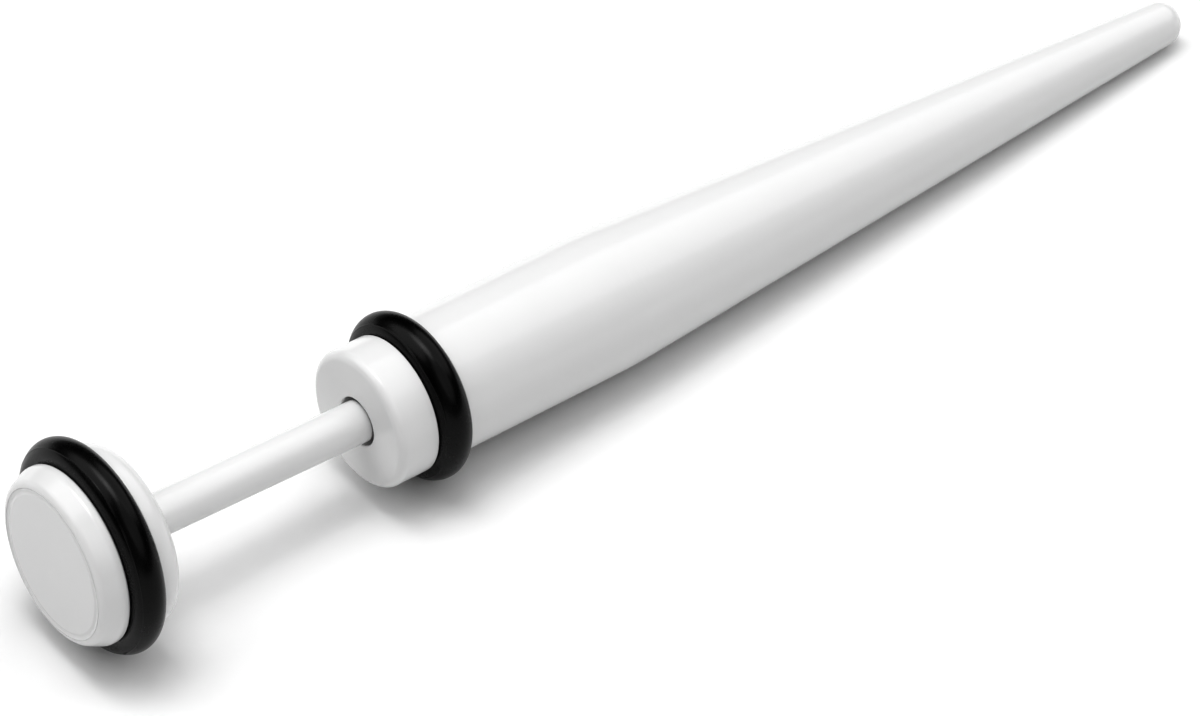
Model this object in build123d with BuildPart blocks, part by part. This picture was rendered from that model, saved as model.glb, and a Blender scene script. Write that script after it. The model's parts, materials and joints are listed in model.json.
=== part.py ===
from build123d import *
import os
from collections import namedtuple
from math import asin, atan2, cos, hypot, radians, sin, sqrt, tan

# A faux taper earring lying on a flat surface, in millimetres.
# X runs from the disc to the tip, Z is up, and the origin is on the surface, below the middle of the
# earring's bounding box. Places along the taper and the post are counted from the head: the taper's
# flat front face, whose centre both axes pass through.

# Taper: a straight stretch behind its head, a cone and a ball tip
TAPER_DIAMETER = 4.0
TAPER_LENGTH = 30.0
STRAIGHT_LENGTH = 8.4
SHOULDER_RADIUS = 20.0
TIP_RADIUS = 0.67
HEAD_EDGE = 0.25

# Front disc: a flange in front of its O-ring and a slightly wider one behind
FRONT_FLANGE_DIAMETER = 5.08
BACK_FLANGE_DIAMETER = 5.2
DISC_THICKNESS = 2.52
DISC_FRONT_EDGE = 0.6
DISC_BACK_EDGE = 0.63
GROOVE_LIP = 0.1

# O-rings: section, place, and how far the section's centre lies under the surface round it
TAPER_RING_SECTION = 1.0
TAPER_RING_PLACE = 1.77
TAPER_RING_SINK = 0.06
DISC_RING_SECTION = 0.95
DISC_RING_SINK = 0.02
GROOVE_GAP = 0.03

# Post: a spigot in the disc, the bar that shows, and a plain end as thick as the hidden thread's core
POST_DIAMETER = 1.2
LOBE_GAP = 7.24
POST_IN_MOUTH = 0.1
THREAD_DIAMETER = 0.89
THREAD_LENGTH = 3.6
THREAD_CHAMFER = 0.15
SPIGOT_DIAMETER = 0.8
SPIGOT_LENGTH = 1.2
SPIGOT_GAP = 0.02
SHOULDER_GAP = 0.012

# Bore of the taper: a wide mouth on the taper's axis, then a bore that leans with the post
MOUTH_DIAMETER = 1.42
MOUTH_DEPTH = 0.8
MOUTH_EDGE = 0.04
BORE_GAP = 0.05
BORE_END_GAP = 0.3
DRILL_POINT_ANGLE = 118.0
SIDE_LEAN = 1.5

TAPER_RADIUS = TAPER_DIAMETER / 2
FRONT_FLANGE_RADIUS = FRONT_FLANGE_DIAMETER / 2
BACK_FLANGE_RADIUS = BACK_FLANGE_DIAMETER / 2
TIP_PLACE = TAPER_LENGTH - TIP_RADIUS
DISC_BACK = -LOBE_GAP
DISC_FRONT = DISC_BACK - DISC_THICKNESS
DISC_RING_PLACE = (DISC_FRONT + DISC_BACK) / 2
TAPER_RING_RADIUS = TAPER_RADIUS - TAPER_RING_SINK
DISC_RING_RADIUS = BACK_FLANGE_RADIUS - DISC_RING_SINK
LEAN = radians(SIDE_LEAN)


def slope_on(tip_distance, ring_radius, section):
    """Downward slope of the axis when the tip and the ring this far in front of it both touch down."""
    span = hypot(tip_distance, ring_radius)
    return asin((section / 2 - TIP_RADIUS) / span) + atan2(ring_radius, tip_distance)


# The tip always touches, and so does whichever O-ring reaches lower
SLOPE = max(
    slope_on(TIP_PLACE - TAPER_RING_PLACE, TAPER_RING_RADIUS, TAPER_RING_SECTION),
    slope_on(TIP_PLACE - DISC_RING_PLACE * cos(LEAN), DISC_RING_RADIUS, DISC_RING_SECTION),
)
TAPER_AXIS = Vector(cos(SLOPE), 0, -sin(SLOPE))
POST_AXIS = TAPER_AXIS * cos(LEAN) - Vector(0, 1, 0) * sin(LEAN)

# The round edges that reach furthest out: the axis that each turns about, the place of its circle on
# that axis, the radius of the circle, and the radius of the rounding about it
RoundEdge = namedtuple("RoundEdge", "axis place circle rounding")
OUTLINE = [
    RoundEdge(TAPER_AXIS, TIP_PLACE, 0, TIP_RADIUS),
    RoundEdge(TAPER_AXIS, STRAIGHT_LENGTH, TAPER_RADIUS, 0),
    RoundEdge(TAPER_AXIS, HEAD_EDGE, TAPER_RADIUS - HEAD_EDGE, HEAD_EDGE),
    RoundEdge(TAPER_AXIS, TAPER_RING_PLACE, TAPER_RING_RADIUS, TAPER_RING_SECTION / 2),
    RoundEdge(POST_AXIS, DISC_RING_PLACE, DISC_RING_RADIUS, DISC_RING_SECTION / 2),
    RoundEdge(POST_AXIS, DISC_BACK - DISC_BACK_EDGE, BACK_FLANGE_RADIUS - DISC_BACK_EDGE, DISC_BACK_EDGE),
    RoundEdge(POST_AXIS, DISC_FRONT + DISC_FRONT_EDGE, FRONT_FLANGE_RADIUS - DISC_FRONT_EDGE, DISC_FRONT_EDGE),
]


def reach(*direction):
    """How far the earring reaches in a direction, counted from the head."""
    way = Vector(*direction)
    return max(
        edge.place * edge.axis.dot(way) + edge.circle * sqrt(1 - edge.axis.dot(way) ** 2) + edge.rounding
        for edge in OUTLINE
    )


HEAD = Vector(
    (reach(-1, 0, 0) - reach(1, 0, 0)) / 2,
    (reach(0, -1, 0) - reach(0, 1, 0)) / 2,
    reach(0, 0, -1),
)
# In these planes a profile's X runs along the axis and its Y is the radius
TAPER_PLANE = Plane(origin=HEAD, x_dir=TAPER_AXIS, z_dir=Vector(0, -1, 0))
POST_PLANE = Plane(origin=HEAD, x_dir=POST_AXIS, z_dir=POST_AXIS.cross(TAPER_PLANE.y_dir))
TAPER_LINE = Axis(HEAD, TAPER_AXIS)
POST_LINE = Axis(HEAD, POST_AXIS)


def corner_at(place, radius):
    """The open profile's corner nearest to a place and a radius."""
    return vertices().sort_by_distance((place, radius))[0]


os.makedirs("parts", exist_ok=True)

# Taper
cone_angle = atan2(TAPER_RADIUS, TIP_PLACE - STRAIGHT_LENGTH) - asin(
    TIP_RADIUS / hypot(TAPER_RADIUS, TIP_PLACE - STRAIGHT_LENGTH)
)
cone_end = (TIP_PLACE + TIP_RADIUS * sin(cone_angle), TIP_RADIUS * cos(cone_angle))
half_turn = (radians(90) + cone_angle) / 2
tip_middle = (TIP_PLACE + TIP_RADIUS * sin(half_turn), TIP_RADIUS * cos(half_turn))
bore_radius = THREAD_DIAMETER / 2 + BORE_GAP
bore_end = POST_IN_MOUTH + THREAD_LENGTH + BORE_END_GAP
drill_point = bore_radius / tan(radians(DRILL_POINT_ANGLE / 2))
with BuildPart() as taper:
    with BuildSketch(TAPER_PLANE):
        with BuildLine():
            Polyline((0, 0), (0, TAPER_RADIUS), (STRAIGHT_LENGTH, TAPER_RADIUS), cone_end)
            tip = ThreePointArc(cone_end, tip_middle, (TAPER_LENGTH, 0))
            Line(tip @ 1, (0, 0))
        make_face()
        fillet(corner_at(STRAIGHT_LENGTH, TAPER_RADIUS), SHOULDER_RADIUS)
        fillet(corner_at(0, TAPER_RADIUS), HEAD_EDGE)
        with Locations((TAPER_RING_PLACE, TAPER_RING_RADIUS)):
            Circle(TAPER_RING_SECTION / 2 + GROOVE_GAP, mode=Mode.SUBTRACT)
    revolve(axis=TAPER_LINE)
    with BuildSketch(TAPER_PLANE):
        with BuildLine():
            Polyline(
                (0, 0),
                (0, MOUTH_DIAMETER / 2 + MOUTH_EDGE),
                (MOUTH_EDGE, MOUTH_DIAMETER / 2),
                (MOUTH_DEPTH, MOUTH_DIAMETER / 2),
                (MOUTH_DEPTH, 0),
                close=True,
            )
        make_face()
    revolve(axis=TAPER_LINE, mode=Mode.SUBTRACT)
    with BuildSketch(POST_PLANE):
        with BuildLine():
            Polyline(
                (MOUTH_DEPTH / 2, 0),
                (MOUTH_DEPTH / 2, bore_radius),
                (bore_end, bore_radius),
                (bore_end + drill_point, 0),
                close=True,
            )
        make_face()
    revolve(axis=POST_LINE, mode=Mode.SUBTRACT)
taper.part.label = "taper"
export_step(taper.part, "parts/taper.step")

# O-ring of the taper
with BuildPart() as taper_o_ring:
    with BuildSketch(TAPER_PLANE):
        with Locations((TAPER_RING_PLACE, TAPER_RING_RADIUS)):
            Circle(TAPER_RING_SECTION / 2)
    revolve(axis=TAPER_LINE)
taper_o_ring.part.label = "taper_o_ring"
export_step(taper_o_ring.part, "parts/taper_o_ring.step")

# Front disc
with BuildPart() as front_disc:
    with BuildSketch(POST_PLANE):
        with BuildLine():
            Polyline(
                (DISC_BACK, 0),
                (DISC_BACK, BACK_FLANGE_RADIUS),
                (DISC_RING_PLACE, BACK_FLANGE_RADIUS),
                (DISC_RING_PLACE, FRONT_FLANGE_RADIUS),
                (DISC_FRONT, FRONT_FLANGE_RADIUS),
                (DISC_FRONT, 0),
                close=True,
            )
        make_face()
        fillet(corner_at(DISC_FRONT, FRONT_FLANGE_RADIUS), DISC_FRONT_EDGE)
        fillet(corner_at(DISC_BACK, BACK_FLANGE_RADIUS), DISC_BACK_EDGE)
        with Locations((DISC_RING_PLACE, DISC_RING_RADIUS)):
            Circle(DISC_RING_SECTION / 2 + GROOVE_GAP, mode=Mode.SUBTRACT)
        fillet(corner_at(DISC_RING_PLACE - DISC_RING_SECTION / 2, FRONT_FLANGE_RADIUS), GROOVE_LIP)
        with Locations((DISC_BACK, 0)):
            Rectangle(
                SPIGOT_LENGTH + SPIGOT_GAP,
                SPIGOT_DIAMETER / 2 + SPIGOT_GAP,
                align=(Align.MAX, Align.MIN),
                mode=Mode.SUBTRACT,
            )
    revolve(axis=POST_LINE)
front_disc.part.label = "front_disc"
export_step(front_disc.part, "parts/front_disc.step")

# O-ring of the disc
with BuildPart() as disc_o_ring:
    with BuildSketch(POST_PLANE):
        with Locations((DISC_RING_PLACE, DISC_RING_RADIUS)):
            Circle(DISC_RING_SECTION / 2)
    revolve(axis=POST_LINE)
disc_o_ring.part.label = "disc_o_ring"
export_step(disc_o_ring.part, "parts/disc_o_ring.step")

# Post
thread_end = POST_IN_MOUTH + THREAD_LENGTH
with BuildPart() as post:
    with BuildSketch(POST_PLANE):
        with BuildLine():
            Polyline(
                (DISC_BACK - SPIGOT_LENGTH, 0),
                (DISC_BACK - SPIGOT_LENGTH, SPIGOT_DIAMETER / 2),
                (DISC_BACK + SHOULDER_GAP, SPIGOT_DIAMETER / 2),
                (DISC_BACK + SHOULDER_GAP, POST_DIAMETER / 2),
                (POST_IN_MOUTH, POST_DIAMETER / 2),
                (POST_IN_MOUTH, THREAD_DIAMETER / 2),
                (thread_end - THREAD_CHAMFER, THREAD_DIAMETER / 2),
                (thread_end, THREAD_DIAMETER / 2 - THREAD_CHAMFER),
                (thread_end, 0),
                close=True,
            )
        make_face()
    revolve(axis=POST_LINE)
post.part.label = "post"
export_step(post.part, "parts/post.step")
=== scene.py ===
"""A faux taper earring that lies on a pale floor, under a bank of broad soft lights.

The earring is two sub-assemblies. The spike is worn behind the ear: a long coated taper with a rubber ring
near its head. The stud is worn in front: a coated disc with its own rubber ring, and the post that passes
through the lobe and screws into the spike.

Lengths are in millimetres until a mesh is made. Places are counted along an axis from the head, which is
the flat front face of the spike, and angles go round an axis from its top.
"""

import json
import logging
import math
from collections.abc import Callable, Iterable
from dataclasses import dataclass
from enum import Enum

import bmesh
import bpy
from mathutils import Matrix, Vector, noise

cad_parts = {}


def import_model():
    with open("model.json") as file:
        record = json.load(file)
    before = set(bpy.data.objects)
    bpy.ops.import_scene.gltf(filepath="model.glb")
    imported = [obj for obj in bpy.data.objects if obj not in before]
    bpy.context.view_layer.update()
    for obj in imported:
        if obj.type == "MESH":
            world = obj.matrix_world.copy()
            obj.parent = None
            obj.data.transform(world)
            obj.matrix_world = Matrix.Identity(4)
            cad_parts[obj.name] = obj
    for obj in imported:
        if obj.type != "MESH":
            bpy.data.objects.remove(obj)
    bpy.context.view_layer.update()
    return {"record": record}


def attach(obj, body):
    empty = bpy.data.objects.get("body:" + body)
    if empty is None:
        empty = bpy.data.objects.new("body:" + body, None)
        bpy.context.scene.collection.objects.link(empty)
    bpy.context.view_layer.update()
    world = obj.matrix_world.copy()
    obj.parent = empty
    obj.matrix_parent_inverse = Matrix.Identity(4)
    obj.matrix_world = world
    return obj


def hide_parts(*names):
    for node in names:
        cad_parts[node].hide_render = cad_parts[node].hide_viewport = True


LOG = logging.getLogger("earring")
METRES = 0.001  # in a millimetre
FULL_TURN = 2 * math.pi
ON_AXIS = 1e-9  # a radius that counts as nothing
SCREW_PITCH = 0.225  # of the thread that joins post and spike
POST_IN_MOUTH = 0.1  # how far the post's bar reaches past the head

Row = list[Vector]
Spot = tuple[float, float]


# Turned outlines


@dataclass(frozen=True)
class Corner:
    """A corner of a turned outline: a place, a distance from the axis and a rounding."""

    place: float
    radius: float
    rounding: float = 0.0

    def point(self) -> Vector:
        """The corner as a point, place first."""
        return Vector((self.place, self.radius))


def rounded(
    before: Vector, corner: Corner, after: Vector, arc_step: float = math.radians(6), fewest: int = 4
) -> list[Vector]:
    """Round one corner of an outline.

    Args:
        before: the point before the corner.
        corner: the corner, with its rounding.
        after: the point after the corner.
        arc_step: the largest turn between two points of the arc.
        fewest: the least number of chords that an arc has.

    Returns:
        The points of the arc, or the corner alone where it is sharp.
    """
    middle = corner.point()
    if not corner.rounding:
        return [middle]
    back = (before - middle).normalized()
    onward = (after - middle).normalized()
    turn = math.pi - back.angle(onward)
    tangent = corner.rounding * math.tan(turn / 2)
    centre = middle + (back + onward).normalized() * corner.rounding / math.cos(turn / 2)
    start = middle + back * tangent - centre
    finish = middle + onward * tangent - centre
    count = max(fewest, math.ceil(turn / arc_step))
    arc = []
    for index in range(count + 1):
        share = index / count
        arc.append(
            centre
            + start * (math.sin((1 - share) * turn) / math.sin(turn))
            + finish * (math.sin(share * turn) / math.sin(turn))
        )
    return arc


def outline(corners: list[Corner], step: float = 0.25, hold: float = 0.02) -> list[Spot]:
    """Work out the points of a turned outline.

    Args:
        corners: the corners in order; the first and the last stay sharp.
        step: the longest stretch without a point.
        hold: how far from the end of a stretch a point keeps its shading straight.

    Returns:
        Places and radii, close enough together for a smooth surface.
    """
    points = [corners[0].point()]
    for before, corner, after in zip(corners, corners[1:], corners[2:]):
        points += rounded(before.point(), corner, after.point())
    points.append(corners[-1].point())
    spots = [tuple(points[0])]
    for start, finish in zip(points, points[1:]):
        length = (finish - start).length
        shares = []
        if length > 4 * hold:
            cuts = math.ceil(length / step)
            shares = [hold / length, *(cut / cuts for cut in range(1, cuts)), 1 - hold / length]
        spots += [tuple(start.lerp(finish, share)) for share in [*shares, 1.0]]
    return spots


def arc_corners(centre: Spot, radius: float, start: float, finish: float, count: int) -> list[Corner]:
    """Lay sharp corners along an arc of an outline.

    Args:
        centre: the place and radius of the arc's centre.
        radius: the arc's own radius.
        start: the first angle, from the axis direction towards larger radii.
        finish: the last angle.
        count: the number of chords.

    Returns:
        The corners, both ends included.
    """
    angles = [start + (finish - start) * index / count for index in range(count + 1)]
    return [Corner(centre[0] + radius * math.cos(a), centre[1] + radius * math.sin(a)) for a in angles]


# Meshes


@dataclass(frozen=True)
class Line:
    """An axis that pieces turn about: the head's centre and a direction."""

    head: Vector
    along: Vector

    def ring(self, count: int, where: Callable[[float], Spot]) -> Row:
        """Lay points round the axis.

        Args:
            count: how many points go round.
            where: gives the place and the radius at an angle from the top.

        Returns:
            The points, in millimetres.
        """
        across = Vector((0, 0, 1)).cross(self.along).normalized()
        up = self.along.cross(across)
        row = []
        for index in range(count):
            angle = FULL_TURN * index / count
            place, radius = where(angle)
            out = up * math.cos(angle) - across * math.sin(angle)
            row.append(self.head + self.along * place + out * radius)
        return row

    def turned(self, count: int, spots: Iterable[Spot]) -> list[Row]:
        """Turn an outline about the axis.

        Args:
            count: how many points go round.
            spots: the outline's places and radii; a radius of nothing closes an end.

        Returns:
            One row for each spot.
        """
        rows = []
        for spot in spots:
            points = 1 if spot[1] < ON_AXIS else count
            rows.append(self.ring(points, lambda angle, spot=spot: spot))
        return rows


def skin(name: str, rows: list[Row], looped: bool = False) -> bpy.types.Object:
    """Lay smooth faces between rows of points.

    Args:
        name: the piece's name.
        rows: rings of points, or single points that close an end.
        looped: whether the last row meets the first.

    Returns:
        The piece, a closed mesh in metres.
    """
    points = [tuple(point * METRES) for row in rows for point in row]
    starts = [0]
    for row in rows:
        starts.append(starts[-1] + len(row))
    faces = []
    following = [*range(1, len(rows)), 0] if looped else range(1, len(rows))
    for first, second in zip(range(len(rows)), following):
        count = max(len(rows[first]), len(rows[second]))
        for index in range(count):
            face = []
            for row, step in ((first, index), (first, index + 1), (second, index + 1), (second, index)):
                face.append(starts[row] + step % len(rows[row]))
            faces.append(tuple(dict.fromkeys(face)))
    mesh = bpy.data.meshes.new(name)
    mesh.from_pydata(points, [], faces)
    shape = bmesh.new()
    shape.from_mesh(mesh)
    bmesh.ops.recalc_face_normals(shape, faces=shape.faces)
    shape.to_mesh(mesh)
    shape.free()
    mesh.shade_smooth()
    piece = bpy.data.objects.new(name, mesh)
    bpy.context.scene.collection.objects.link(piece)
    return piece


@dataclass(frozen=True)
class Thread:
    """A fine screw thread, cut into a rod, or tapped into a bore where its depth is negative."""

    crest: float
    depth: float
    start: float
    finish: float
    pitch: float = SCREW_PITCH
    flat_share: float = 0.12
    flank_share: float = 0.7

    def radius(self, angle: float, place: float) -> float:
        """Work out how far the thread's surface lies from the axis.

        Args:
            angle: the angle round the axis.
            place: the place along it.

        Returns:
            The radius, which runs out to the crest at both ends.
        """
        turn = (place / self.pitch - angle / FULL_TURN) % 1
        flank = min(1.0, max(0.0, (abs(2 * turn - 1) - self.flat_share) / self.flank_share))
        run_in = min(place - self.start, self.finish - place) / self.pitch
        return self.crest - self.depth * flank * min(1.0, max(0.0, run_in))

    def rows(self, line: Line, count: int, rows_per_turn: int) -> list[Row]:
        """Lay the thread's rows, from its start to its finish.

        Args:
            line: the axis.
            count: how many points go round.
            rows_per_turn: how finely one turn is cut.

        Returns:
            The rows of points.
        """
        steps = math.ceil((self.finish - self.start) / self.pitch * rows_per_turn)
        rows = []
        for step in range(steps + 1):
            place = self.start + (self.finish - self.start) * step / steps
            rows.append(line.ring(count, lambda angle, place=place: (place, self.radius(angle, place))))
        return rows


# Materials


@dataclass(frozen=True)
class Value:
    """A number that varies over a surface: a socket that Python's operators work on."""

    graph: "Graph"
    socket: bpy.types.NodeSocket

    def __add__(self, other: "Value | float") -> "Value":
        """Add a value or a number."""
        return self.graph.maths("ADD", self, other)

    def __radd__(self, other: float) -> "Value":
        """Add to a number."""
        return self.graph.maths("ADD", other, self)

    def __sub__(self, other: "Value | float") -> "Value":
        """Take away a value or a number."""
        return self.graph.maths("SUBTRACT", self, other)

    def __rsub__(self, other: float) -> "Value":
        """Take away from a number."""
        return self.graph.maths("SUBTRACT", other, self)

    def __mul__(self, other: "Value | float") -> "Value":
        """Multiply by a value or a number."""
        return self.graph.maths("MULTIPLY", self, other)

    def __rmul__(self, other: float) -> "Value":
        """Multiply a number."""
        return self.graph.maths("MULTIPLY", other, self)


class Graph:
    """The nodes of one material, with a Principled shader at their end."""

    def __init__(self, name: str) -> None:
        """Start a material.

        Args:
            name: the material's name.
        """
        self.material = bpy.data.materials.new(name)
        self.material.use_nodes = True
        self.tree = self.material.node_tree
        self.shader = self.tree.nodes["Principled BSDF"]

    def node(self, kind: str, settings: dict | None = None, inputs: dict | None = None) -> bpy.types.Node:
        """Add a node.

        Args:
            kind: the node's type.
            settings: what is set first; stops are a ramp's places and greys.
            inputs: sockets, by name or number, with their values or links.

        Returns:
            The node.
        """
        made = self.tree.nodes.new(kind)
        for name, value in (settings or {}).items():
            if name == "stops":
                ramp = made.color_ramp.elements
                while len(ramp) < len(value):
                    ramp.new(1.0)
                for stop, (place, grey) in zip(ramp, value):
                    stop.position = place
                    stop.color = (grey, grey, grey, 1.0)
            else:
                setattr(made, name, value)
        for name, value in (inputs or {}).items():
            self.feed(made.inputs[name], value)
        return made

    def feed(self, socket: bpy.types.NodeSocket, value: object) -> None:
        """Link a socket, or set it.

        Args:
            socket: the socket that is fed.
            value: a value or another socket, which is linked, or what the socket is set to.
        """
        if isinstance(value, Value):
            value = value.socket
        if isinstance(value, bpy.types.NodeSocket):
            self.tree.links.new(value, socket)
        else:
            socket.default_value = value

    def maths(self, operation: str, first: Value | float, second: Value | float) -> Value:
        """Add a Math node.

        Args:
            operation: what it does.
            first: its first value or number.
            second: its second value or number.

        Returns:
            Its result.
        """
        made = self.node("ShaderNodeMath", {"operation": operation}, {0: first, 1: second})
        return Value(self, made.outputs[0])

    def place(self) -> bpy.types.NodeSocket:
        """The surface's own coordinates, in metres."""
        return self.node("ShaderNodeTexCoord").outputs["Object"]

    def mottle(self, size: float, detail: float = 2.0, roughness: float = 0.5) -> Value:
        """Add soft noise.

        Args:
            size: how wide its patches are, in millimetres.
            detail: how many finer layers it has.
            roughness: how strong they are.

        Returns:
            A value about one half.
        """
        made = self.node(
            "ShaderNodeTexNoise",
            {"noise_dimensions": "3D"},
            {
                "Vector": self.place(),
                "Scale": 1 / (size * METRES),
                "Detail": detail,
                "Roughness": roughness,
            },
        )
        return Value(self, made.outputs[0])

    def specks(self, size: float, share: float) -> Value:
        """Add sparse round specks.

        Args:
            size: how far apart they could lie, in millimetres.
            share: how much of that distance a speck takes.

        Returns:
            One in a speck's middle and nothing outside.
        """
        cells = self.node(
            "ShaderNodeTexVoronoi",
            {"feature": "F1"},
            {"Vector": self.place(), "Scale": 1 / (size * METRES)},
        )
        made = self.node(
            "ShaderNodeValToRGB",
            {"stops": [(0.0, 1.0), (share, 0.0)]},
            {"Fac": cells.outputs["Distance"]},
        )
        return Value(self, made.outputs[0])

    def tint(self, share: Value, dark: Iterable[float], light: Iterable[float]) -> bpy.types.NodeSocket:
        """Mix two colours.

        Args:
            share: how much of the light one shows.
            dark: the first colour.
            light: the second colour.

        Returns:
            The colour's socket.
        """
        made = self.node(
            "ShaderNodeMix",
            {"data_type": "RGBA"},
            {0: share, 6: (*dark, 1.0), 7: (*light, 1.0)},
        )
        return made.outputs[2]

    def relief(self, height: Value, depth: float) -> bpy.types.NodeSocket:
        """Turn a height into a bumped normal.

        Args:
            height: the height, from nothing to one.
            depth: how deep one is, in millimetres.

        Returns:
            The normal's socket.
        """
        made = self.node("ShaderNodeBump", {}, {"Distance": depth * METRES, "Height": height})
        return made.outputs["Normal"]

    def finish(self, inputs: dict) -> bpy.types.Material:
        """Set the shader's sockets.

        Args:
            inputs: sockets, by name, with their values or links.

        Returns:
            The material.
        """
        for name, value in inputs.items():
            self.feed(self.shader.inputs[name], value)
        return self.material


@dataclass(frozen=True)
class WhiteCoating:
    """Glossy white coating baked on steel, with the faint ripple that such a coat dries with."""

    slot: str = "white_coating"
    name: str = "baked_white"
    deep: tuple[float, float, float] = (0.685, 0.685, 0.685)
    pale: tuple[float, float, float] = (0.705, 0.705, 0.705)
    cloud_size: float = 1.6
    roughness: float = 0.17
    cloudy: float = 0.05
    gloss: float = 0.38
    pit_gap: float = 0.45
    pit_share: float = 0.06
    pit_roughness: float = 0.1
    pit_relief: float = 0.6
    ripple_size: float = 0.3
    ripple_depth: float = 0.0015

    def material(self) -> bpy.types.Material:
        """Make the coating.

        Returns:
            The material, a little cloudy, with a faint ripple and sparse pits.
        """
        graph = Graph(self.name)
        cloud = graph.mottle(self.cloud_size, detail=3.0)
        ripple = graph.mottle(self.ripple_size)
        pits = graph.specks(self.pit_gap, self.pit_share)
        return graph.finish(
            {
                "Base Color": graph.tint(cloud, self.deep, self.pale),
                "Roughness": self.roughness + self.cloudy * (cloud - 0.5) + self.pit_roughness * pits,
                "Specular IOR Level": self.gloss,
                "Normal": graph.relief(ripple - self.pit_relief * pits, self.ripple_depth),
            }
        )


@dataclass(frozen=True)
class BlackRubber:
    """Moulded black rubber with a dull shine and a little bloom."""

    slot: str = "black_rubber"
    name: str = "moulded_black"
    deep: tuple[float, float, float] = (0.0003, 0.0003, 0.0003)
    bloom: tuple[float, float, float] = (0.0009, 0.0009, 0.0009)
    bloom_size: float = 0.9
    roughness: float = 0.26
    bloom_dulls: float = 0.16
    grain_dulls: float = 0.1
    gloss: float = 0.16
    grain_size: float = 0.06
    grain_depth: float = 0.0008

    def material(self) -> bpy.types.Material:
        """Make the rubber.

        Returns:
            The material, with patches of bloom over a fine grain.
        """
        graph = Graph(self.name)
        cloud = graph.mottle(self.bloom_size, detail=4.0, roughness=0.6)
        grain = graph.mottle(self.grain_size, detail=3.0, roughness=0.6)
        return graph.finish(
            {
                "Base Color": graph.tint(cloud, self.deep, self.bloom),
                "Roughness": (
                    self.roughness + self.bloom_dulls * (cloud - 0.5) + self.grain_dulls * (grain - 0.5)
                ),
                "Specular IOR Level": self.gloss,
                "Normal": graph.relief(grain, self.grain_depth),
            }
        )


@dataclass(frozen=True)
class PaleFloor:
    """A matt white studio floor with a faint grain."""

    name: str = "pale_floor"
    deep: tuple[float, float, float] = (0.80, 0.80, 0.80)
    pale: tuple[float, float, float] = (0.82, 0.82, 0.82)
    grain_size: float = 0.8
    roughness: float = 0.9

    def material(self) -> bpy.types.Material:
        """Make the floor's paper.

        Returns:
            The material.
        """
        graph = Graph(self.name)
        grain = graph.mottle(self.grain_size, detail=4.0)
        return graph.finish(
            {
                "Base Color": graph.tint(grain, self.deep, self.pale),
                "Roughness": self.roughness,
                "Specular IOR Level": 0.0,
            }
        )


class Finish(Enum):
    """The finishes that a piece may have."""

    COATING = WhiteCoating()
    RUBBER = BlackRubber()

    def dress(self, piece: bpy.types.Object, body: str, *nodes: str) -> bpy.types.Object:
        """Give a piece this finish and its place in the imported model.

        Args:
            piece: the piece.
            body: the body that it rides on.
            nodes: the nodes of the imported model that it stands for.

        Returns:
            The piece.
        """
        material = bpy.data.materials.get(self.value.name) or self.value.material()
        piece.data.materials.append(material)
        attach(piece, body)
        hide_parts(*nodes)
        return piece


# The earring


@dataclass(frozen=True)
class Layout:
    """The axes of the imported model."""

    spike: Line
    post: Line

    @classmethod
    def from_record(cls, record: dict) -> "Layout":
        """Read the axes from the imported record's mount.

        Args:
            record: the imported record.

        Returns:
            The layout.
        """
        mount = next(mount for mount in record["mounts"] if mount["name"] == "post")
        along = Vector(mount["axis"]).normalized()
        bar_end = Vector(mount["pos_m"]) / METRES + along * mount["dims"]["length_mm"] / 2
        head = bar_end - along * POST_IN_MOUTH
        level = Vector((along.x, 0, along.z)).normalized()
        return cls(Line(head, level), Line(head, along))


@dataclass(frozen=True)
class Waver:
    """Smooth noise round a ring: how busy it is, and which layer of the noise it reads."""

    turns: float
    layer: float

    def at(self, angle: float, seed: float) -> float:
        """Read the noise.

        Args:
            angle: the angle round the axis.
            seed: the ring's own place in the noise.

        Returns:
            A value between minus one and one.
        """
        spot = Vector((self.turns * math.cos(angle), self.turns * math.sin(angle), seed + self.layer))
        return noise.noise(spot)


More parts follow.
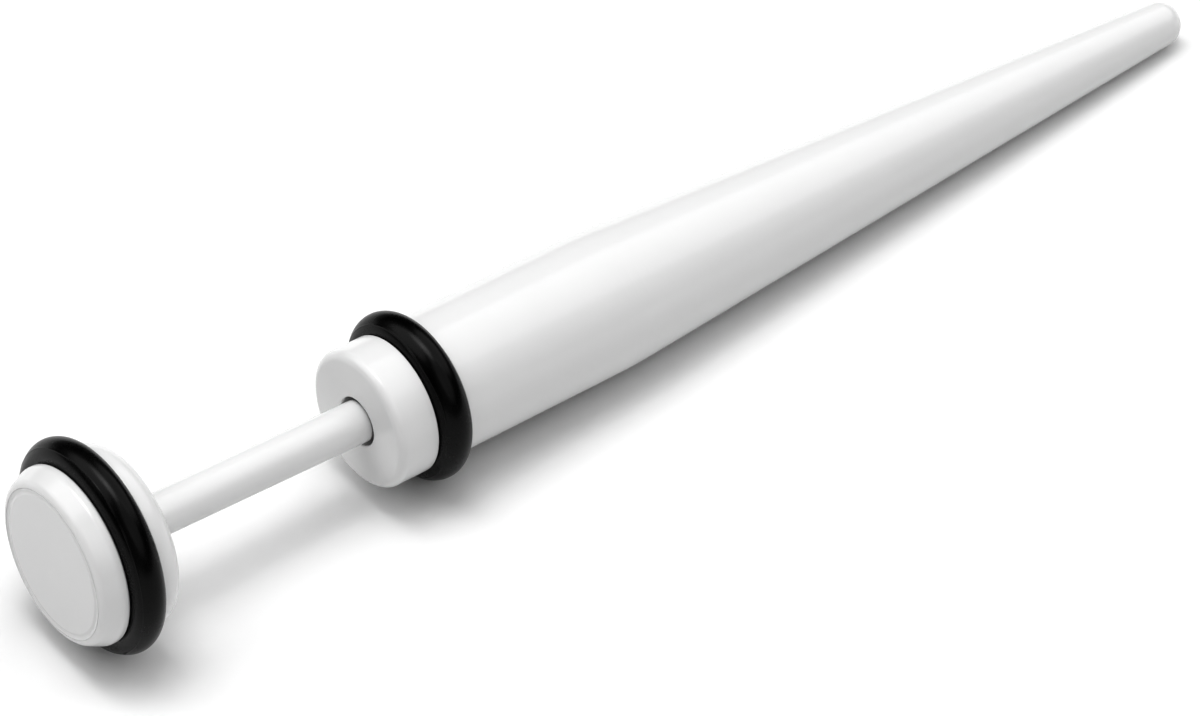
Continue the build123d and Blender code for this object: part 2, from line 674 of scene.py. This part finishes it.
@dataclass(frozen=True)
class RubberRing:
    """An O-ring, with the fine flash that its mould leaves where the two halves meet."""

    name: str
    place: float
    radius: float
    section: float
    flash_angle: float
    seed: float
    flash_sway: float = math.radians(7)
    flash_swaying: Waver = Waver(turns=1.3, layer=0.0)
    flash_height: float = 0.012
    flash_width: float = math.radians(2.2)
    flash_share: float = 0.7
    flash_swell: float = 0.5
    flash_swelling: Waver = Waver(turns=6.0, layer=3.0)
    nib_angle: float | None = None
    nib_height: float = 0.035
    nib_width: float = math.radians(2.2)
    uneven: float = 0.004
    thinning: Waver = Waver(turns=2.4, layer=7.0)
    count: int = 288
    close_rows: tuple[float, ...] = (0, 0.7, 1.4, 2.2, 3.2, 4.6, 6.5)
    wide_rows_from: float = 9.0
    wide_rows_step: float = 4.5

    def flash(self, angle: float, offset: float) -> float:
        """Work out how high the flash stands.

        Args:
            angle: the angle round the axis.
            offset: the angle round the section, from the flash.

        Returns:
            The height over the round section.
        """
        swell = self.flash_swell * self.flash_swelling.at(angle, self.seed)
        height = self.flash_height * (self.flash_share + swell)
        if self.nib_angle is not None:
            away = (angle - self.nib_angle) / self.nib_width
            height += self.nib_height * math.exp(-away * away)
        near = abs((offset + math.pi / 2) % math.pi - math.pi / 2) / self.flash_width
        return height * math.exp(-near * near)

    def spot(self, angle: float, offset: float) -> Spot:
        """Work out where one point of the ring lies.

        Args:
            angle: the angle round the axis.
            offset: the angle round the section, from the flash.

        Returns:
            The place and the radius.
        """
        turn = self.flash_angle + self.flash_sway * self.flash_swaying.at(angle, self.seed) + offset
        thinner = self.uneven * (1 + self.thinning.at(angle, self.seed))
        thickness = self.section / 2 * (1 - thinner) + self.flash(angle, offset)
        return self.place - thickness * math.sin(turn), self.radius + thickness * math.cos(turn)

    def build(self, line: Line) -> bpy.types.Object:
        """Make the ring's mesh, with its rows close together by the flash.

        Args:
            line: the axis that it lies round.

        Returns:
            The piece.
        """
        steps = round((180 - 2 * self.wide_rows_from) / self.wide_rows_step)
        wide_rows = [self.wide_rows_from + self.wide_rows_step * step for step in range(steps + 1)]
        half = sorted({*self.close_rows, *wide_rows, *(180 - degrees for degrees in self.close_rows[1:])})
        offsets = [math.radians(degrees) for degrees in [*half, *(180 + degrees for degrees in half)]]
        rows = [line.ring(self.count, lambda angle, o=offset: self.spot(angle, o)) for offset in offsets]
        return skin(self.name, rows, looped=True)


@dataclass(frozen=True)
class Groove:
    """A round groove that an O-ring sits in."""

    ring_section: float
    ring_place: float
    ring_radius: float
    gap: float = 0.03
    front_lip: float = 0.04
    back_lip: float = 0.04
    lip_reach: float = 1.25
    chords: int = 36

    def corners(self, before: float, behind: float) -> list[Corner]:
        """Cut the groove into an outline.

        Args:
            before: the radius of the surface in front of it.
            behind: the radius of the surface behind it.

        Returns:
            The corners, with a soft lip at each end.
        """
        radius = self.ring_section / 2 + self.gap
        start = math.pi - math.asin((before - self.ring_radius) / radius)
        finish = 2 * math.pi + math.asin((behind - self.ring_radius) / radius)
        seat = arc_corners(
            (self.ring_place, self.ring_radius),
            radius,
            start + self.lip_reach * self.front_lip / radius,
            finish - self.lip_reach * self.back_lip / radius,
            self.chords,
        )
        return [
            Corner(self.ring_place + radius * math.cos(start), before, self.front_lip),
            *seat,
            Corner(self.ring_place + radius * math.cos(finish), behind, self.back_lip),
        ]


@dataclass
class Spike:
    """The long taper that is worn behind the ear, and its rubber ring."""

    layout: Layout
    radius: float = 2.0
    length: float = 30.0
    straight: float = 8.4
    shoulder: float = 20.0
    tip_radius: float = 0.67
    head_edge: float = 0.25
    mouth_radius: float = 0.71
    mouth_depth: float = 0.8
    mouth_lip: float = 0.05
    mouth_floor_edge: float = 0.06
    bore_radius: float = 0.495
    bore_lip: float = 0.02
    bore_end: float = 4.0
    tap_depth: float = 0.05
    tap_start: float = 0.1
    tap_room: float = 0.3
    drill_point_angle: float = math.radians(118)
    flash_angle: float = math.radians(56)
    groove: Groove = Groove(ring_section=1.0, ring_place=1.77, ring_radius=1.94)
    tip_chords: int = 24
    count: int = 160

    def taper(self) -> bpy.types.Object:
        """Make the coated taper.

        Returns:
            The piece, from the bottom of its bore to its ball tip.
        """
        tip_place = self.length - self.tip_radius
        run = tip_place - self.straight
        cone = math.atan2(self.radius, run) - math.asin(self.tip_radius / math.hypot(self.radius, run))
        ball = arc_corners((tip_place, 0.0), self.tip_radius, math.pi / 2 - cone, 0.0, self.tip_chords)
        tap = Thread(
            self.bore_radius,
            -self.tap_depth,
            self.mouth_depth + self.tap_start,
            self.bore_end - self.tap_room,
        )
        point = self.bore_end + self.bore_radius / math.tan(self.drill_point_angle / 2)
        bottom = [Corner(point, 0), Corner(self.bore_end, self.bore_radius), Corner(tap.finish, tap.crest)]
        drilled = self.layout.post.turned(self.count, outline(bottom))
        tapped = tap.rows(self.layout.post, self.count, rows_per_turn=8)[::-1]
        outside = outline(
            [
                Corner(self.mouth_depth, self.bore_radius + self.bore_lip),
                Corner(self.mouth_depth, self.mouth_radius, self.mouth_floor_edge),
                Corner(0, self.mouth_radius, self.mouth_lip),
                Corner(0, self.radius, self.head_edge),
                *self.groove.corners(self.radius, self.radius),
                Corner(self.straight, self.radius, self.shoulder),
                *ball,
            ]
        )
        turned = self.layout.spike.turned(self.count, outside)
        return skin("coated_taper", [*drilled, *tapped, *turned])

    def ring(self) -> bpy.types.Object:
        """Make the rubber ring near the head.

        Returns:
            The piece.
        """
        groove = self.groove
        ring = RubberRing(
            "taper_ring",
            groove.ring_place,
            groove.ring_radius,
            groove.ring_section,
            self.flash_angle,
            seed=2.0,
        )
        return ring.build(self.layout.spike)

    def build(self) -> list[bpy.types.Object]:
        """Make and dress the spike's pieces."""
        return [
            Finish.COATING.dress(self.taper(), "taper", "taper"),
            Finish.RUBBER.dress(self.ring(), "taper", "taper_o_ring"),
        ]


@dataclass
class Stud:
    """The disc that is worn in front of the ear, its rubber ring and the post."""

    layout: Layout
    front_radius: float = 2.54
    back_radius: float = 2.6
    disc_thickness: float = 2.52
    front_trim: float = 0.016
    line_place: float = 0.49
    line_width: float = 0.17
    line_depth: float = 0.038
    line_edge: float = 0.1
    rim_rise: float = 0.24
    rim_run: float = 0.52
    face_edge: float = 0.26
    rim_edge: float = 0.3
    back_edge: float = 0.63
    lobe_gap: float = 7.24
    post_radius: float = 0.6
    post_edge: float = 0.04
    spigot_radius: float = 0.4
    spigot_length: float = 1.2
    spigot_edge: float = 0.03
    spigot_gap: float = 0.02
    shoulder_gap: float = 0.012
    fine_edge: float = 0.02
    thread_radius: float = 0.445
    thread_length: float = 3.6
    thread_relief: float = 0.2
    thread_chamfer: float = 0.15
    thread_depth: float = 0.12
    flash_angle: float = math.radians(46)
    nib_angle: float = math.radians(136)
    groove: Groove = Groove(ring_section=0.95, ring_place=-8.5, ring_radius=2.58, front_lip=0.1)
    count: int = 160

    def disc(self) -> bpy.types.Object:
        """Make the coated disc, with a fine line round its face and the socket in its back.

        Returns:
            The piece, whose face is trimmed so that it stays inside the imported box.
        """
        back = -self.lobe_gap
        front = back - self.disc_thickness + self.front_trim
        socket = self.spigot_radius + self.spigot_gap
        floor = back - self.spigot_length - self.spigot_gap
        line = self.front_radius - self.line_place
        corners = [
            Corner(front, 0),
            Corner(front, line - self.line_width / 2, self.line_edge),
            Corner(front + self.line_depth, line, self.line_edge),
            Corner(front, line + self.line_width / 2, self.line_edge),
            Corner(front, self.front_radius - self.rim_rise, self.face_edge),
            Corner(front + self.rim_run, self.front_radius, self.rim_edge),
            *self.groove.corners(self.front_radius, self.back_radius),
            Corner(back, self.back_radius, self.back_edge),
            Corner(back, socket, self.fine_edge),
            Corner(floor, socket),
            Corner(floor, 0),
        ]
        return skin("coated_disc", self.layout.post.turned(self.count, outline(corners)))

    def ring(self) -> bpy.types.Object:
        """Make the rubber ring round the disc.

        Returns:
            The piece, with the nib where its flash was torn.
        """
        groove = self.groove
        ring = RubberRing(
            "disc_ring",
            groove.ring_place,
            groove.ring_radius,
            groove.ring_section,
            self.flash_angle,
            seed=5.0,
            nib_angle=self.nib_angle,
        )
        return ring.build(self.layout.post)

    def post(self) -> bpy.types.Object:
        """Make the post.

        Returns:
            The piece: a spigot, the bar through the lobe and a threaded end.
        """
        back = -self.lobe_gap
        bar_start = back + self.shoulder_gap
        end = POST_IN_MOUTH + self.thread_length
        thread = Thread(
            self.thread_radius,
            self.thread_depth,
            POST_IN_MOUTH + self.thread_relief,
            end - self.thread_chamfer,
        )
        bar = outline(
            [
                Corner(back - self.spigot_length, 0),
                Corner(back - self.spigot_length, self.spigot_radius, self.spigot_edge),
                Corner(bar_start, self.spigot_radius),
                Corner(bar_start, self.post_radius, self.fine_edge),
                Corner(POST_IN_MOUTH, self.post_radius, self.post_edge),
                Corner(POST_IN_MOUTH, self.thread_radius, self.fine_edge),
                Corner(thread.start, self.thread_radius),
            ]
        )
        chamfer = outline(
            [
                Corner(thread.finish, self.thread_radius),
                Corner(end, self.thread_radius - self.thread_chamfer, self.fine_edge),
                Corner(end, 0),
            ]
        )
        line = self.layout.post
        rows = [
            *line.turned(self.count, bar[:-1]),
            *thread.rows(line, self.count, rows_per_turn=12),
            *line.turned(self.count, chamfer[1:]),
        ]
        return skin("threaded_post", rows)

    def build(self) -> list[bpy.types.Object]:
        """Make and dress the stud's pieces."""
        return [
            Finish.COATING.dress(self.disc(), "stud", "front_disc"),
            Finish.RUBBER.dress(self.ring(), "stud", "disc_o_ring"),
            Finish.COATING.dress(self.post(), "stud", "post"),
        ]


# The studio


@dataclass(frozen=True)
class Softbox:
    """A broad soft light, the same all over the earring.

    It leans from overhead by some degrees, towards a side counted in degrees from +X towards +Y, and its
    width is the angle that it fills.
    """

    name: str
    strength: float
    lean: float
    towards: float
    width: float

    def hang(self) -> None:
        """Hang the light."""
        lamp = bpy.data.lights.new(self.name, "SUN")
        lamp.energy = self.strength
        lamp.angle = math.radians(self.width)
        light = bpy.data.objects.new(self.name, lamp)
        lean = math.radians(self.lean)
        towards = math.radians(self.towards)
        level = math.sin(lean)
        way = Vector((level * math.cos(towards), level * math.sin(towards), math.cos(lean)))
        light.rotation_mode = "QUATERNION"
        light.rotation_quaternion = way.to_track_quat("Z", "Y")
        bpy.context.scene.collection.objects.link(light)


@dataclass(frozen=True)
class Studio:
    """A pale floor, a bank of soft lights in a dark room, and the camera."""

    floor_size: float = 4000.0
    bank: tuple[Softbox, ...] = (
        Softbox("overhead", 0.84, 0, 0, 24),
        Softbox("overhead_back", 0.66, 16, 90, 25),
        Softbox("bank_right", 1.30, 40, 0, 60),
        Softbox("bank_back_left", 1.66, 40, 135, 60),
        Softbox("bank_front", 0.84, 40, 270, 60),
        Softbox("fill_front_left", 0.12, 62, 232, 50),
    )
    room_light: float = 0.0
    contrast: float = 1.25
    azimuth: float = math.radians(-39.04)
    elevation: float = math.radians(43.79)
    distance: float = 165.6
    aim: tuple[float, float, float] = (-1.771, -0.336, 0.0)
    lens: float = 180.0
    sensor: float = 36.0
    nearest: float = 10.0
    farthest: float = 10000.0

    def floor(self) -> None:
        """Lay the floor at the height that the earring rests on."""
        half = self.floor_size * METRES / 2
        mesh = bpy.data.meshes.new("floor")
        mesh.from_pydata(
            [(-half, -half, 0), (half, -half, 0), (half, half, 0), (-half, half, 0)], [], [(0, 1, 2, 3)]
        )
        floor = bpy.data.objects.new("floor", mesh)
        bpy.context.scene.collection.objects.link(floor)
        mesh.materials.append(PaleFloor().material())

    def room(self) -> None:
        """Leave the room dark beyond the lights, and show greys with a plain contrast."""
        world = bpy.data.worlds.new("room")
        world.use_nodes = True
        background = world.node_tree.nodes["Background"]
        background.inputs["Color"].default_value = (1, 1, 1, 1)
        background.inputs["Strength"].default_value = self.room_light
        scene = bpy.context.scene
        scene.world = world
        scene.view_settings.view_transform = "Standard"
        scene.view_settings.gamma = 1 / self.contrast

    def camera(self) -> None:
        """Set up the camera at the photograph's angle."""
        lens = bpy.data.cameras.new("camera")
        lens.lens = self.lens
        lens.sensor_width = self.sensor
        lens.clip_start = self.nearest * METRES
        lens.clip_end = self.farthest * METRES
        camera = bpy.data.objects.new("camera", lens)
        bpy.context.scene.collection.objects.link(camera)
        back = Vector(
            (
                math.sin(self.azimuth) * math.cos(self.elevation),
                -math.cos(self.azimuth) * math.cos(self.elevation),
                math.sin(self.elevation),
            )
        )
        camera.rotation_mode = "QUATERNION"
        camera.location = (Vector(self.aim) + back * self.distance) * METRES
        camera.rotation_quaternion = (-back).to_track_quat("-Z", "Y")
        bpy.context.scene.camera = camera

    def build(self) -> None:
        """Set up the camera, the floor, the lights and the room."""
        self.camera()
        self.floor()
        for softbox in self.bank:
            softbox.hang()
        self.room()


def report(pieces: Iterable[bpy.types.Object]) -> None:
    """Say which pieces were made.

    Args:
        pieces: the pieces.
    """
    for piece in pieces:
        LOG.info("made %s with %d faces", piece.name, len(piece.data.polygons))


def main() -> None:
    """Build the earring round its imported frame."""
    logging.basicConfig(level=logging.INFO, format="%(message)s")
    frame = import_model()
    Studio().build()
    layout = Layout.from_record(frame["record"])
    for assembly in (Spike(layout), Stud(layout)):
        report(assembly.build())
    bpy.context.view_layer.update()


if __name__ == "__main__":
    main()
